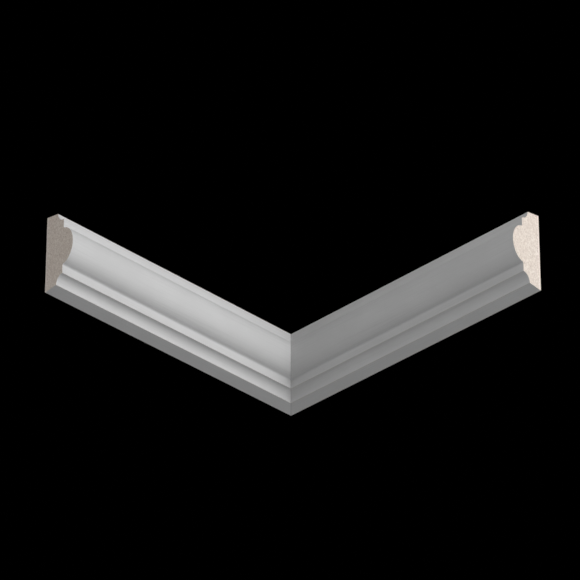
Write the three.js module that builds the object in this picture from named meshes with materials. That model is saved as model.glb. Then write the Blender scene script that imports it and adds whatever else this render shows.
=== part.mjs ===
// Decorative wall moulding in the inside corner of a room: two lengths of one fibreboard
// profile, mitred against each other at the corner and sawn square at their far ends.
// Millimetres, +Z up. The two walls are the planes x = 0 and y = 0, and the room is the
// quarter x > 0, y < 0. The origin is where the walls meet, at the moulding's lower back edge.
import * as THREE from "three";

// Length of each run, measured along its wall from the corner.
const LEFT_RUN = 235.8;
const RIGHT_RUN = 239.4;
const MITRE_GAP = 0.3; // between the two mitred faces, which meet dry

// The profile is the same above and below its middle. Depths are measured out from the wall.
const HEIGHT = 60;
const DEPTH = 26.7; // at the crown of the swell
const FILLET_DEPTH = 17; // the flat band on each side of the swell
const EDGE_DEPTH = 11; // the front arris of the top and bottom edges
const EDGE_DRAFT = 1.5; // each edge slopes this far inwards from the wall to that arris
const COVE_HEIGHT = 6.9; // the quarter cove between arris and fillet
const SWELL_REACH = 10.3; // the swell is an ellipse: its half width, out from the wall
const SWELL_HALF_HEIGHT = 14.5; // and its half height, before the fillets cut it off
const CURVE_SEGMENTS = 16; // half the number of straight facets on each curved moulding

const QUARTER_TURN = Math.PI / 2;

const primedBoard = new THREE.MeshStandardMaterial({
  name: "primed fibreboard",
  color: 0xdededc,
  roughness: 0.6,
  metalness: 0,
});

// Section of the moulding: x is the depth from the wall, y the height above the lower back
// edge. It runs round the outline from that edge: bottom edge, cove, fillet, swell, fillet,
// cove and top edge, and closes along the flat back.
function mouldingSection() {
  const coveReach = FILLET_DEPTH - EDGE_DEPTH;
  const swellCentre = DEPTH - SWELL_REACH;
  const swellAngle = Math.acos((FILLET_DEPTH - swellCentre) / SWELL_REACH);
  const upperArris = HEIGHT - EDGE_DRAFT;

  const section = new THREE.Shape();
  section.moveTo(0, 0);
  section.lineTo(EDGE_DEPTH, EDGE_DRAFT);
  section.absellipse(
    FILLET_DEPTH, EDGE_DRAFT, coveReach, COVE_HEIGHT, Math.PI, QUARTER_TURN, true, 0,
  );
  section.absellipse(
    swellCentre, HEIGHT / 2, SWELL_REACH, SWELL_HALF_HEIGHT, -swellAngle, swellAngle, false, 0,
  );
  section.absellipse(
    FILLET_DEPTH, upperArris, coveReach, COVE_HEIGHT, -QUARTER_TURN, -Math.PI, true, 0,
  );
  section.lineTo(0, HEIGHT);
  section.closePath();
  return section;
}

// One length of moulding, lying along its own +Z with its back on x = 0. The corner of the
// room is at cornerZ, which is one of its two ends. There each point is drawn back along the
// run by its depth, which makes the 45 degree mitre, and by its share of the gap.
function mouldingLength(run, cornerZ) {
  const geometry = new THREE.ExtrudeGeometry(mouldingSection(), {
    depth: run,
    steps: 1,
    bevelEnabled: false,
    curveSegments: CURVE_SEGMENTS,
  });
  const towardsFarEnd = cornerZ === 0 ? 1 : -1;
  const gapAlongRun = (MITRE_GAP / 2) * Math.SQRT2;
  const points = geometry.attributes.position;
  for (let i = 0; i < points.count; i += 1) {
    const atCorner = Math.abs(points.getZ(i) - cornerZ) < run / 2;
    if (atCorner) {
      const setBack = points.getX(i) + gapAlongRun;
      points.setZ(i, cornerZ + towardsFarEnd * setBack);
    }
  }
  geometry.computeVertexNormals();
  return geometry;
}

// The left length starts at the corner and comes forward along the wall x = 0.
const leftLength = new THREE.Mesh(mouldingLength(LEFT_RUN, 0), primedBoard);
leftLength.name = "left_length";
leftLength.rotation.x = QUARTER_TURN;

// The right length starts at its square end and runs back to the corner along the wall y = 0.
const rightLength = new THREE.Mesh(mouldingLength(RIGHT_RUN, RIGHT_RUN), primedBoard);
rightLength.name = "right_length";
rightLength.rotation.x = QUARTER_TURN;
const rightWall = new THREE.Group();
rightWall.rotation.z = -QUARTER_TURN;
rightWall.position.x = RIGHT_RUN;
rightWall.add(rightLength);

const cornerMoulding = new THREE.Group();
cornerMoulding.add(leftLength, rightWall);

export default cornerMoulding;
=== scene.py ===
import math

import bpy
import numpy as np
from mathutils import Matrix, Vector


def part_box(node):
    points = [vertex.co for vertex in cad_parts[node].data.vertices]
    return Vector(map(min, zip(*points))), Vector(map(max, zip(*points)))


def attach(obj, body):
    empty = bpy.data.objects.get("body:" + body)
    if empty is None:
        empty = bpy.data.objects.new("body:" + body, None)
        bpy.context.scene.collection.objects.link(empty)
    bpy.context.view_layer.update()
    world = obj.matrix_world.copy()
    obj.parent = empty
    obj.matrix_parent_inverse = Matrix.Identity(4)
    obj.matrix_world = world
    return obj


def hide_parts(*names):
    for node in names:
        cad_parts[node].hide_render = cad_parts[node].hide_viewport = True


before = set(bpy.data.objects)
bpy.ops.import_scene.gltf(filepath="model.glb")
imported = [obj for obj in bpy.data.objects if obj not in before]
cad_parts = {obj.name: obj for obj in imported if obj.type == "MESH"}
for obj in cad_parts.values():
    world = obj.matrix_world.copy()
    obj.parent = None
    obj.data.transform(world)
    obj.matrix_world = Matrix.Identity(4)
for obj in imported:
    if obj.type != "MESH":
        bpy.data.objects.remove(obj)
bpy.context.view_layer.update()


# The moulding's section, the same for both lengths. It is a fibreboard plank run through a
# spindle moulder: a flat back, then from each edge a quarter cove and a flat fillet, and one
# swell between the fillets. The primer sprayed on it softens every corner a little.
MM = 0.001
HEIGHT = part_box("left_length")[1].z
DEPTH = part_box("left_length")[1].x
FILLET_DEPTH = 17 * MM
EDGE_DEPTH = 11 * MM
EDGE_DRAFT = 1.5 * MM
COVE_HEIGHT = 6.9 * MM
SWELL_REACH = 10.3 * MM
SWELL_HALF_HEIGHT = 14.5 * MM
SOFT_BACK = 0.5 * MM         # how far from a corner its rounding starts
SOFT_ARRIS = 0.35 * MM
SOFT_HOLLOW = 1.3 * MM       # primer gathers where the swell meets a fillet
OUTLINE_STEP = 0.42 * MM
ROUNDING_STEPS = 6


def stretch(start, stop):
    """A straight run of the outline: start + share (stop - start), in even steps."""
    start, stop = np.array(start), np.array(stop)
    steps = math.ceil(np.linalg.norm(stop - start) / OUTLINE_STEP)
    return start + np.linspace(0, 1, 1 + steps)[:, None] * (stop - start)


def arc(centre, reach, start, stop):
    """A curved run: centre + (reach_x cos t, reach_y sin t), with t going from start to stop."""
    steps = math.ceil(abs(stop - start) * max(reach) / OUTLINE_STEP)
    turn = np.linspace(start, stop, 1 + steps)
    return np.array(centre) + np.stack([np.cos(turn), np.sin(turn)], axis=1) * reach


def trimmed(line, head, tail):
    """The same line without the first `head` and the last `tail` of its length."""
    reached = np.concatenate([[0], np.cumsum(np.linalg.norm(np.diff(line, axis=0), axis=1))])
    stop = reached[-1] - tail
    inside = (reached > head) & (reached < stop)
    kept = np.concatenate([[head], reached[inside], [stop]])
    return np.stack([np.interp(kept, reached, line[:, axis]) for axis in (0, 1)], axis=1)


def joined(runs, softness):
    """One line through all runs. At each inner corner, trimmed by its softness, it follows
    (1 - w)^2 before + 2 w (1 - w) corner + w^2 after, for w from 0 to 1."""
    w = np.linspace(0, 1, 1 + ROUNDING_STEPS)[1:-1, None]
    softness = [0, *softness, 0]
    cut = [trimmed(run, softness[i], softness[i + 1]) for i, run in enumerate(runs)]
    parts = [cut[0]]
    for whole, before, after in zip(runs, cut, cut[1:]):
        parts += [(1 - w) ** 2 * before[-1] + 2 * w * (1 - w) * whole[-1] + w**2 * after[0], after]
    return np.concatenate(parts)


def upside_down(line):
    """The line's mirror image about the section's middle height, run the other way."""
    return np.stack([line[:, 0], HEIGHT - line[:, 1]], axis=1)[::-1]


def section_sides():
    """The outline as four lines of (depth, height): the bottom and top edges run out from the
    wall, the back and the front run up. Opposite lines have as many points as each other."""
    cove = (FILLET_DEPTH - EDGE_DEPTH, COVE_HEIGHT)
    swell_centre = DEPTH - SWELL_REACH
    swell_angle = math.acos((FILLET_DEPTH - swell_centre) / SWELL_REACH)
    swell_foot = HEIGHT / 2 - SWELL_HALF_HEIGHT * math.sin(swell_angle)
    lower_arris = (EDGE_DEPTH, EDGE_DRAFT)
    edge = stretch((0, 0), lower_arris)
    start_of_front = trimmed(edge, 0, SOFT_ARRIS)[-1]
    lower_front = [
        stretch(start_of_front, lower_arris),
        arc((FILLET_DEPTH, EDGE_DRAFT), cove, math.pi, math.pi / 2),
        stretch((FILLET_DEPTH, EDGE_DRAFT + COVE_HEIGHT), (FILLET_DEPTH, swell_foot)),
    ]
    swell_size = (SWELL_REACH, SWELL_HALF_HEIGHT)
    swell = arc((swell_centre, HEIGHT / 2), swell_size, -swell_angle, swell_angle)
    softness = [SOFT_ARRIS, SOFT_ARRIS, SOFT_HOLLOW]
    upper_front = [upside_down(run) for run in lower_front[::-1]]
    front = joined([*lower_front, swell, *upper_front], softness + softness[::-1])
    bottom = joined([stretch((0, SOFT_BACK), (0, 0)), edge], [SOFT_BACK])
    bottom = trimmed(bottom, 0, SOFT_ARRIS)
    top = upside_down(bottom)[::-1]
    # Half by height and half by number, so that no two rows of the back lie too close.
    rise = (front[:, 1] - front[0, 1]) / (front[-1, 1] - front[0, 1])
    share = (rise + np.linspace(0, 1, len(front))) / 2
    back = np.array([0, 1]) * (bottom[0, 1] + share * (top[0, 1] - bottom[0, 1]))[:, None]
    return bottom, top, back, front, share


def section_grid():
    """The section filled with rows of points, from the back out to the front. It is a Coons
    patch: the blend of bottom and top, plus the blend of back and front, minus the blend of
    the four corners."""
    bottom, top, back, front, v = section_sides()
    v = v[:, None, None]
    u = np.linspace(0, 1, len(bottom))[None, :, None]
    level = (1 - v) * bottom[None] + v * top[None]
    upright = (1 - u) * back[:, None] + u * front[:, None]
    corners = (1 - v) * ((1 - u) * bottom[0] + u * bottom[-1]) + v * ((1 - u) * top[0] + u * top[-1])
    return level + upright - corners


# The two lengths. Each is one piece of board, primed on its moulded faces and on its top and
# bottom edges, mitred where the walls meet and sawn square at its far end, where the bare
# fibre shows. They are glued to the walls, and dry against each other at the mitre.
LEFT_RUN = -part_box("left_length")[0].y
RIGHT_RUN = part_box("right_length")[1].x
MITRE_HAIRLINE = 0.12 * MM   # between the two mitred faces
CUT_LIP = 0.4 * MM           # from each end to the ring next to it
RINGS = 24
PIT_PITCHES = ((1.3 * MM, 5.0 * MM), (0.6 * MM, 2.2 * MM), (0.4 * MM, 0.8 * MM))
PIT_DEPTHS = (0.03 * MM, 0.03 * MM, 0.05 * MM)
SHARP_EDGE = math.radians(40)
PRIMER, BARE_END, BACK = range(3)


def value_noise(across, along, pitch, random):
    """Random numbers from 0 to 1 on a lattice of the given pitch, blended between its points
    with the smooth weight t^2 (3 - 2 t)."""
    x, y = across / pitch[0], along / pitch[1]
    lattice = random.random((int(x.max()) + 2, int(y.max()) + 2))
    column, row = x.astype(int), y.astype(int)
    s, t = x - column, y - row
    s, t = s * s * (3 - 2 * s), t * t * (3 - 2 * t)
    lower = lattice[column, row] * (1 - s) + lattice[column + 1, row] * s
    upper = lattice[column, row + 1] * (1 - s) + lattice[column + 1, row + 1] * s
    return lower * (1 - t) + upper * t


def corner_sharpness(ring):
    """Near 1 on an arris, near -1 in a hollow corner and about 0 elsewhere: the turn from one
    side of a point to the other, over the length between them, times the arris's rounding."""
    ahead, behind = np.roll(ring, -1, axis=0) - ring, ring - np.roll(ring, 1, axis=0)
    turn = np.arctan2(
        behind[:, 0] * ahead[:, 1] - behind[:, 1] * ahead[:, 0],
        (behind * ahead).sum(axis=1),
    )
    reach = (np.linalg.norm(ahead, axis=1) + np.linalg.norm(behind, axis=1)) / 2
    return np.clip(turn / reach * SOFT_ARRIS, -1, 1)


def length_of_moulding(name, run, to_row, mirrored, seed):
    """The section's grid at each end, joined by rings of its outline. At the corner a point
    starts as far along the wall as it stands off it, which makes the mitre at 45 degrees. The
    sawn end is pitted by three sizes of value noise. to_row turns depth, run and height into
    the object's own axes. Each point keeps those three as the attribute board, with its
    corner's sharpness as arris and its distance from the saw cut as from_saw."""
    grid = section_grid()
    rows, columns = grid.shape[:2]
    number = np.arange(rows * columns).reshape(rows, columns)
    rim = np.concatenate([number[0], number[1:, -1], number[-1, -2::-1], number[-2:0:-1, 0]])
    points = grid.reshape(-1, 2)
    outline = points[rim]
    random = np.random.default_rng(seed)
    pits = sum(
        depth * value_noise(points[:, 0], points[:, 1], pitch, random)
        for pitch, depth in zip(PIT_PITCHES, PIT_DEPTHS)
    )
    mitre = points[:, 0] + MITRE_HAIRLINE / math.sqrt(2)
    sawn = run - pits
    from_mitre = np.linspace(0, 1, RINGS)[:, None]
    first, last = mitre[rim] + CUT_LIP, run - CUT_LIP
    stations = first + from_mitre * (last - first)
    depths = np.concatenate([points[:, 0], np.tile(outline[:, 0], RINGS), points[:, 0]])
    heights = np.concatenate([points[:, 1], np.tile(outline[:, 1], RINGS), points[:, 1]])
    along = np.concatenate([mitre, stations.ravel(), sawn])

    first_ring = len(points) + np.arange(RINGS)[:, None] * len(rim) + np.arange(len(rim))
    rings = np.concatenate([[rim], first_ring, [rim + len(points) + RINGS * len(rim)]])
    sides = np.stack([rings[:-1], np.roll(rings, -1, axis=1)[:-1],
                      np.roll(rings, -1, axis=1)[1:], rings[1:]], axis=2)
    cap = np.stack([number[:-1, :-1], number[:-1, 1:], number[1:, 1:], number[1:, :-1]], axis=2)
    cap = cap.reshape(-1, 4)
    far_cap = cap + len(points) + RINGS * len(rim)
    quads = np.concatenate([cap[:, ::-1], far_cap, sides.reshape(-1, 4)])
    if mirrored:
        quads = quads[:, ::-1]
    on_back = np.arange(len(rim)) >= 2 * (columns - 1) + rows - 1
    finish = np.concatenate([
        np.full(2 * len(cap), BARE_END),
        np.tile(np.where(on_back, BACK, PRIMER), RINGS + 1),
    ])

    mesh = bpy.data.meshes.new(name)
    mesh.from_pydata(to_row(depths, along, heights), [], quads)
    mesh.polygons.foreach_set("material_index", finish.astype(np.int32))
    mesh.polygons.foreach_set("use_smooth", np.ones(len(quads), bool))
    board = mesh.attributes.new("board", "FLOAT_VECTOR", "POINT")
    board.data.foreach_set("vector", np.stack([depths, along, heights], axis=1).ravel())
    sharpness = np.zeros(len(depths))
    sharpness[rings] = corner_sharpness(outline)
    arris = mesh.attributes.new("arris", "FLOAT", "POINT")
    arris.data.foreach_set("value", sharpness)
    from_saw = mesh.attributes.new("from_saw", "FLOAT", "POINT")
    from_saw.data.foreach_set("value", run - along)
    mesh.set_sharp_from_angle(angle=SHARP_EDGE)
    mesh.update()
    piece = bpy.data.objects.new(name, mesh)
    bpy.context.scene.collection.objects.link(piece)
    return piece


left = length_of_moulding(
    "left_moulding", LEFT_RUN, lambda d, s, h: np.stack([d, -s, h], axis=1), False, seed=11)
right = length_of_moulding(
    "right_moulding", RIGHT_RUN, lambda d, s, h: np.stack([s, -d, h], axis=1), True, seed=23)


def linear(hex_colour):
    """A colour for a shader from its sRGB hex value: ((c + 0.055) / 1.055)^2.4, or c / 12.92
    where c is dark."""
    channels = [int(hex_colour[i:i + 2], 16) / 255 for i in (1, 3, 5)]
    return [c / 12.92 if c <= 0.04045 else ((c + 0.055) / 1.055) ** 2.4 for c in channels] + [1]


def wire(node, **links):
    """Links each socket given to the node's input of that name, where _ stands for a space."""
    for name, socket in links.items():
        node.id_data.links.new(socket, node.inputs[name.replace("_", " ")])


def add(material, kind, settings=None, give=None, **links):
    """Adds a node, sets its inputs and properties by name and links the sockets given. It
    returns the output called `give`, or else the first one in use."""
    node = material.node_tree.nodes.new(kind)
    for name, value in (settings or {}).items():
        if hasattr(node, name):
            setattr(node, name, value)
        else:
            node.inputs[name].default_value = value
    wire(node, **links)
    return node.outputs[give] if give else next(out for out in node.outputs if out.enabled)


def new_material(name):
    material = bpy.data.materials.new(name)
    material.use_nodes = True
    return material, material.node_tree.nodes["Principled BSDF"]


# Sprayed primer: a water-based undercoat, sprayed on and baked. To the eye it is an even, neutral
# grey-white skin, half matt, with faint orange peel and hair-fine cutter lines along the run. It
# is thin on the arrises, and the saw has broken crumbs of it off the far end. Its colour is also
# darkened in the hollow corners, as painted shade.
PRIMER_TONE, PRIMER_CLOUD, PRIMER_LINE = "#dedede", "#dadada", "#d7d7d7"
# Of these three, the middle one is painted shade for the hollow corners; the other two are the film's own
# colour.
ARRIS_TONE, HOLLOW_SHADE_TONE, BOARD_TONE = "#d6d3cf", "#d0d0d1", "#e6d9cc"
CUTTER_LINE = (0.9 * MM, 70 * MM, 0.9 * MM)
CUTTER_DEPTH = 0.003 * MM
PEEL_PITCH = 1.9 * MM
PEEL_DEPTH = 0.006 * MM
CLOUD_PITCH = 38 * MM
CRUMB_PITCH = 0.8 * MM
CRUMB_REACH = 0.7 * MM       # how far from the saw cut the film may be broken
primer, shader = new_material("sprayed_primer")
place = add(primer, "ShaderNodeAttribute", {"attribute_name": "board"}, "Vector")
arris = add(primer, "ShaderNodeAttribute", {"attribute_name": "arris"}, "Fac")
from_saw = add(primer, "ShaderNodeAttribute", {"attribute_name": "from_saw"}, "Fac")
in_lines = add(primer, "ShaderNodeMapping", {"Scale": [1 / size for size in CUTTER_LINE]},
               Vector=place)
lines = add(primer, "ShaderNodeTexNoise", {"Scale": 1, "Detail": 2}, Vector=in_lines)
clouds = add(primer, "ShaderNodeTexNoise", {"Scale": 1 / CLOUD_PITCH, "Detail": 2}, Vector=place)
peel = add(primer, "ShaderNodeTexNoise", {"Scale": 1 / PEEL_PITCH, "Detail": 1}, Vector=place)
crumbs = add(primer, "ShaderNodeTexNoise", {"Scale": 1 / CRUMB_PITCH, "Detail": 2}, Vector=place)
cloudy = add(primer, "ShaderNodeMapRange", {"From Min": 0.4, "From Max": 0.6}, Value=clouds)
lined = add(primer, "ShaderNodeMapRange", {"From Min": 0.5, "From Max": 0.75}, Value=lines)
thin = add(primer, "ShaderNodeMapRange", {"From Min": 0.1, "From Max": 0.6, "To Max": 0.8}, Value=arris)
# Painted shade: darkens the colour in the hollow corners, where the arris attribute runs below zero.
full = add(primer, "ShaderNodeMapRange", {"From Min": -0.05, "From Max": -0.4}, Value=arris)
reach = add(primer, "ShaderNodeMapRange", {"From Min": 0.5, "From Max": 0.8, "To Max": CRUMB_REACH},
            Value=crumbs)
broken = add(primer, "ShaderNodeMapRange", {"To Min": 1, "To Max": 0}, Value=from_saw, From_Max=reach)
tone = add(primer, "ShaderNodeMix", {"data_type": "RGBA", "A": linear(PRIMER_TONE),
           "B": linear(PRIMER_CLOUD)}, Factor=cloudy)
# Cutter lines, thin film on arrises, painted shade in the hollows and broken film, laid on in turn.
marks_and_shade = ((PRIMER_LINE, lined), (ARRIS_TONE, thin), (HOLLOW_SHADE_TONE, full), (BOARD_TONE, broken))
for laid_on, where in marks_and_shade:
    tone = add(primer, "ShaderNodeMix", {"data_type": "RGBA", "B": linear(laid_on)}, A=tone, Factor=where)
rough = add(primer, "ShaderNodeMapRange", {"From Min": 0.3, "From Max": 0.7, "To Min": 0.54,
            "To Max": 0.66}, Value=lines)
ridged = add(primer, "ShaderNodeBump", {"Distance": CUTTER_DEPTH}, Height=lines)
peeled = add(primer, "ShaderNodeBump", {"Distance": PEEL_DEPTH}, Height=peel, Normal=ridged)
wire(shader, Base_Color=tone, Roughness=rough, Normal=peeled)

# Sawn fibreboard: wood fibre pressed with resin, then cut across. To the eye it is dry, matt and
# pale, warmer than the primer, with short streaks of fibre, fine specks and a few darker bundles
# torn by the saw. Real fibres are a third of this size: they are drawn coarser so that they show.
BOARD_PALE, BOARD_WARM, FIBRE_TONE, BUNDLE_TONE = "#f4eae0", "#f1e6db", "#dbcdc1", "#9c8b7b"
FIBRE_STREAK = (0.8 * MM, 1 * MM, 1.8 * MM)
FIBRE_BUNDLE = (0.7 * MM, 1 * MM, 2.6 * MM)
BUNDLE_SLANT = math.radians(28)
SPECK_PITCH = 1 * MM
PATCH_PITCH = 9 * MM
FIBRE_DEPTH = 0.1 * MM
PALE_SKIN = 1.7 * MM         # the pressed skin along the back is paler than the core
bare, shader = new_material("sawn_fibreboard")
place = add(bare, "ShaderNodeAttribute", {"attribute_name": "board"}, "Vector")
depth = add(bare, "ShaderNodeSeparateXYZ", None, "X", Vector=place)
in_streaks = add(bare, "ShaderNodeMapping", {"Scale": [1 / size for size in FIBRE_STREAK]},
                 Vector=place)
slanted = add(bare, "ShaderNodeMapping", {"Rotation": (0, BUNDLE_SLANT, 0)}, Vector=place)
in_bundles = add(bare, "ShaderNodeMapping", {"Scale": [1 / size for size in FIBRE_BUNDLE]},
                 Vector=slanted)
streaks = add(bare, "ShaderNodeTexNoise", {"Scale": 1, "Detail": 2}, Vector=in_streaks)
bundles = add(bare, "ShaderNodeTexNoise", {"Scale": 1, "Detail": 1}, Vector=in_bundles)
specks = add(bare, "ShaderNodeTexNoise", {"Scale": 1 / SPECK_PITCH, "Detail": 1}, Vector=place)
patches = add(bare, "ShaderNodeTexNoise", {"Scale": 1 / PATCH_PITCH, "Detail": 1}, Vector=place)
warm = add(bare, "ShaderNodeMapRange", {"From Min": 0.35, "From Max": 0.65}, Value=patches)
fibrous = add(bare, "ShaderNodeMapRange", {"From Min": 0.4, "From Max": 0.68}, Value=streaks)
speckled = add(bare, "ShaderNodeMapRange", {"From Min": 0.42, "From Max": 0.66, "To Max": 0.9},
               Value=specks)
torn = add(bare, "ShaderNodeMapRange", {"From Min": 0.66, "From Max": 0.84}, Value=bundles)
pale = add(bare, "ShaderNodeMapRange", {"From Min": PALE_SKIN, "From Max": 0, "To Max": 0.8},
           Value=depth)
tone = add(bare, "ShaderNodeMix", {"data_type": "RGBA", "A": linear(BOARD_PALE),
           "B": linear(BOARD_WARM)}, Factor=warm)
flecks = ((FIBRE_TONE, fibrous), (FIBRE_TONE, speckled), (BUNDLE_TONE, torn), (BOARD_PALE, pale))
for laid_on, where in flecks:
    tone = add(bare, "ShaderNodeMix", {"data_type": "RGBA", "B": linear(laid_on)}, A=tone, Factor=where)
rough = add(bare, "ShaderNodeMapRange", {"From Min": 0.3, "From Max": 0.7, "To Min": 0.82,
            "To Max": 0.95}, Value=streaks)
furry = add(bare, "ShaderNodeBump", {"Distance": FIBRE_DEPTH}, Height=streaks)
wire(shader, Base_Color=tone, Roughness=rough, Normal=furry)

# Sealed back: sanded flat, then given one thin coat against damp. To the eye the board's tone
# shows through it in long soft streaks, with fine sanding lines along the run, and primer that
# drifted over both long edges lies on it as a whiter, ragged band.
SEALED_TONE, SEALED_STREAK, DRIFT_TONE = "#cfc7be", "#bfb2a2", "#dadad9"
SANDING_LINE = (1 * MM, 45 * MM, 0.8 * MM)
SEALED_PATCH = (1 * MM, 60 * MM, 11 * MM)
SANDING_DEPTH = 0.01 * MM
DRIFT_PITCH = 1.2 * MM
DRIFT_REACH = 5 * MM
back, shader = new_material("sealed_fibreboard")
place = add(back, "ShaderNodeAttribute", {"attribute_name": "board"}, "Vector")
height = add(back, "ShaderNodeSeparateXYZ", None, "Z", Vector=place)
in_lines = add(back, "ShaderNodeMapping", {"Scale": [1 / size for size in SANDING_LINE]},
               Vector=place)
in_patches = add(back, "ShaderNodeMapping", {"Scale": [1 / size for size in SEALED_PATCH]},
                 Vector=place)
lines = add(back, "ShaderNodeTexNoise", {"Scale": 1, "Detail": 2}, Vector=in_lines)
patches = add(back, "ShaderNodeTexNoise", {"Scale": 1, "Detail": 3}, Vector=in_patches)
drops = add(back, "ShaderNodeTexNoise", {"Scale": 1 / DRIFT_PITCH, "Detail": 4}, Vector=place)
from_middle = add(back, "ShaderNodeMapRange", {"From Max": HEIGHT, "To Min": -HEIGHT / 2,
                  "To Max": HEIGHT / 2}, Value=height)
from_middle = add(back, "ShaderNodeMath", {"operation": "ABSOLUTE"}, Value=from_middle)
drift_start = add(back, "ShaderNodeMapRange", {"From Min": 0.3, "From Max": 0.7,
                  "To Min": HEIGHT / 2 - DRIFT_REACH, "To Max": HEIGHT / 2}, Value=drops)
drifted = add(back, "ShaderNodeMapRange", {"From Max": HEIGHT / 2}, Value=from_middle,
              From_Min=drift_start)
streaked = add(back, "ShaderNodeMapRange", {"From Min": 0.35, "From Max": 0.65, "To Max": 0.7},
               Value=patches)
lined = add(back, "ShaderNodeMapRange", {"From Min": 0.4, "From Max": 0.7, "To Max": 0.5}, Value=lines)
tone = add(back, "ShaderNodeMix", {"data_type": "RGBA", "A": linear(SEALED_TONE),
           "B": linear(SEALED_STREAK)}, Factor=streaked)
for laid_on, where in ((SEALED_STREAK, lined), (DRIFT_TONE, drifted)):
    tone = add(back, "ShaderNodeMix", {"data_type": "RGBA", "B": linear(laid_on)}, A=tone, Factor=where)
rough = add(back, "ShaderNodeMapRange", {"From Min": 0.3, "From Max": 0.7, "To Min": 0.68,
            "To Max": 0.85}, Value=patches)
sanded = add(back, "ShaderNodeBump", {"Distance": SANDING_DEPTH}, Height=lines)
wire(shader, Base_Color=tone, Roughness=rough, Normal=sanded)

# Both lengths wear the same three finishes, in the order in which their faces number them.
for piece, node in ((left, "left_length"), (right, "right_length")):
    for material in (primer, bare, back):
        piece.data.materials.append(material)
    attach(piece, "root")
    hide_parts(node)


# The camera stands in the room, below the moulding, and looks up into the corner along the mitre.
# Its place and aim were fitted to the moulding's outline in the photo.
VIEW_AZIMUTH = math.radians(45.011)
VIEW_RISE = math.radians(31.674)
VIEW_DISTANCE = 3.2538
LENS = 280
SENSOR = 36
AIM_HEIGHT = 105.0 * MM      # on the line where the walls meet
AIM_TO_THE_LEFT = 0.7 * MM
across = Vector((math.cos(VIEW_AZIMUTH), math.sin(VIEW_AZIMUTH), 0))
forward = Vector((
    -math.sin(VIEW_AZIMUTH) * math.cos(VIEW_RISE),
    math.cos(VIEW_AZIMUTH) * math.cos(VIEW_RISE),
    math.sin(VIEW_RISE),
))
camera = bpy.data.objects.new("camera", bpy.data.cameras.new("camera"))
camera.data.lens = LENS
camera.data.sensor_width = SENSOR
camera.data.clip_end = 50
camera.location = Vector((0, 0, AIM_HEIGHT)) - AIM_TO_THE_LEFT * across - VIEW_DISTANCE * forward
camera.rotation_mode = "QUATERNION"
camera.rotation_quaternion = forward.to_track_quat("-Z", "Y")
bpy.context.scene.collection.objects.link(camera)
bpy.context.scene.camera = camera


# The stage: a floor in pale matt paint, well below the moulding, which is seen from under. All
# round, the floor turns up into a wall that darkens with height, so the background is plain floor
# from the side or above, and black from below.
FLOOR_TONE = "#dcdcdc"
FLOOR_ROUGHNESS = 0.95
FLOOR_DROP = 3.3             # metres, as all sizes here are
FLOOR_REACH = 8
FLOOR_BEND = 3.5
FLOOR_INNER_RINGS = (0.01, 2)
WALL_TOP = 2.2
DARK_FROM = 0.5              # the height at which the wall begins to darken
BEND_STEPS = 24
STAGE_STEPS = 96
turn = np.linspace(0, math.pi / 2, 1 + BEND_STEPS)
profile_out = np.concatenate([FLOOR_INNER_RINGS, FLOOR_REACH - FLOOR_BEND * (1 - np.sin(turn)),
                              [FLOOR_REACH]])
profile_up = np.concatenate([[0, 0], FLOOR_BEND * (1 - np.cos(turn)), [WALL_TOP + FLOOR_DROP]])
round_angle = np.linspace(0, 2 * math.pi, STAGE_STEPS, endpoint=False)
dish = np.stack([
    profile_out[:, None] * np.cos(round_angle),
    profile_out[:, None] * np.sin(round_angle),
    np.broadcast_to(profile_up[:, None] - FLOOR_DROP, (len(profile_out), STAGE_STEPS)),
], axis=2)
ring = np.arange(len(profile_out) * STAGE_STEPS).reshape(-1, STAGE_STEPS)
faces = np.stack([ring[:-1], np.roll(ring, -1, axis=1)[:-1],
                  np.roll(ring, -1, axis=1)[1:], ring[1:]], axis=2).reshape(-1, 4)[:, ::-1]
mesh = bpy.data.meshes.new("floor")
mesh.from_pydata(dish.reshape(-1, 3), [], faces)
mesh.polygons.foreach_set("use_smooth", np.ones(len(faces), bool))
floor = bpy.data.objects.new("floor", mesh)
bpy.context.scene.collection.objects.link(floor)
paint, shader = new_material("floor_paint")
shader.inputs["Roughness"].default_value = FLOOR_ROUGHNESS
place = add(paint, "ShaderNodeTexCoord", None, "Object")
height = add(paint, "ShaderNodeSeparateXYZ", None, "Z", Vector=place)
pale = add(paint, "ShaderNodeMapRange", {"From Min": DARK_FROM, "From Max": WALL_TOP, "To Min": 1,
           "To Max": 0, "interpolation_type": "SMOOTHSTEP"}, Value=height)
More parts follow.
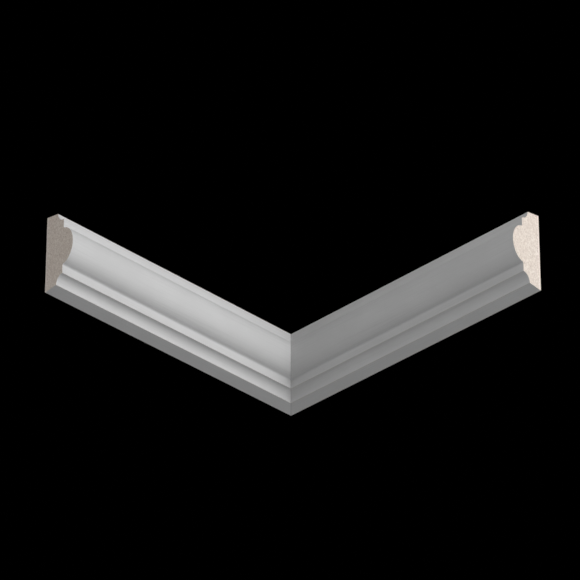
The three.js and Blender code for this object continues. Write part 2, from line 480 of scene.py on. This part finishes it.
shade = add(paint, "ShaderNodeMix", {"data_type": "RGBA", "A": (0, 0, 0, 1), "B": linear(FLOOR_TONE)},
            Factor=pale)
wire(shader, Base_Color=shade)
floor.data.materials.append(paint)


# The lights, in metres and watts: softboxes at one distance round the moulding, most of them on
# the right-hand side, with powers that bring each face near its tone in the photo. Below is a wide
# bank of lamps that faces down and lights the floor alone. Beyond them the studio is black.
SOFTBOX_SIZE = 1
SOFTBOX_DISTANCE = 1.2
FLOOR_BANK_SIZE = 14
FLOOR_BANK_HEIGHT = -0.25
LIT_POINT = Vector((0.12, -0.12, 0.03))  # near the middle of the moulding's box


def area_light(name, size, power, location):
    """A square lamp that the camera doesn't see. It faces down until it is turned."""
    light = bpy.data.objects.new(name, bpy.data.lights.new(name, "AREA"))
    light.data.size = size
    light.data.energy = power
    light.location = location
    light.visible_camera = False
    bpy.context.scene.collection.objects.link(light)
    return light


def softbox(name, azimuth, elevation, power):
    """A softbox that faces the lit point. Its azimuth is 0 in front of the right-hand wall and
    90 in front of the left-hand one."""
    a, e = math.radians(azimuth), math.radians(elevation)
    out = Vector((math.sin(a) * math.cos(e), -math.cos(a) * math.cos(e), math.sin(e)))
    light = area_light(name, SOFTBOX_SIZE, power, LIT_POINT + SOFTBOX_DISTANCE * out)
    light.rotation_mode = "QUATERNION"
    light.rotation_quaternion = out.to_track_quat("Z", "Y")


softbox("key_softbox", azimuth=80, elevation=10, power=5.04)
softbox("side_softbox", azimuth=110, elevation=0, power=3.27)
softbox("low_softbox", azimuth=110, elevation=-25, power=2.37)
softbox("high_softbox", azimuth=90, elevation=25, power=3.9)
softbox("top_softbox", azimuth=90, elevation=65, power=1.2)
softbox("fill_softbox", azimuth=-20, elevation=0, power=3.54)
softbox("back_softbox", azimuth=225, elevation=15, power=8)
area_light("floor_bank", FLOOR_BANK_SIZE, power=135, location=(0, 0, FLOOR_BANK_HEIGHT))
world = bpy.data.worlds.new("studio")
world.use_nodes = True
world.node_tree.nodes["Background"].inputs["Color"].default_value = (0, 0, 0, 1)
bpy.context.scene.world = world
bpy.context.scene.view_settings.view_transform = "Standard"
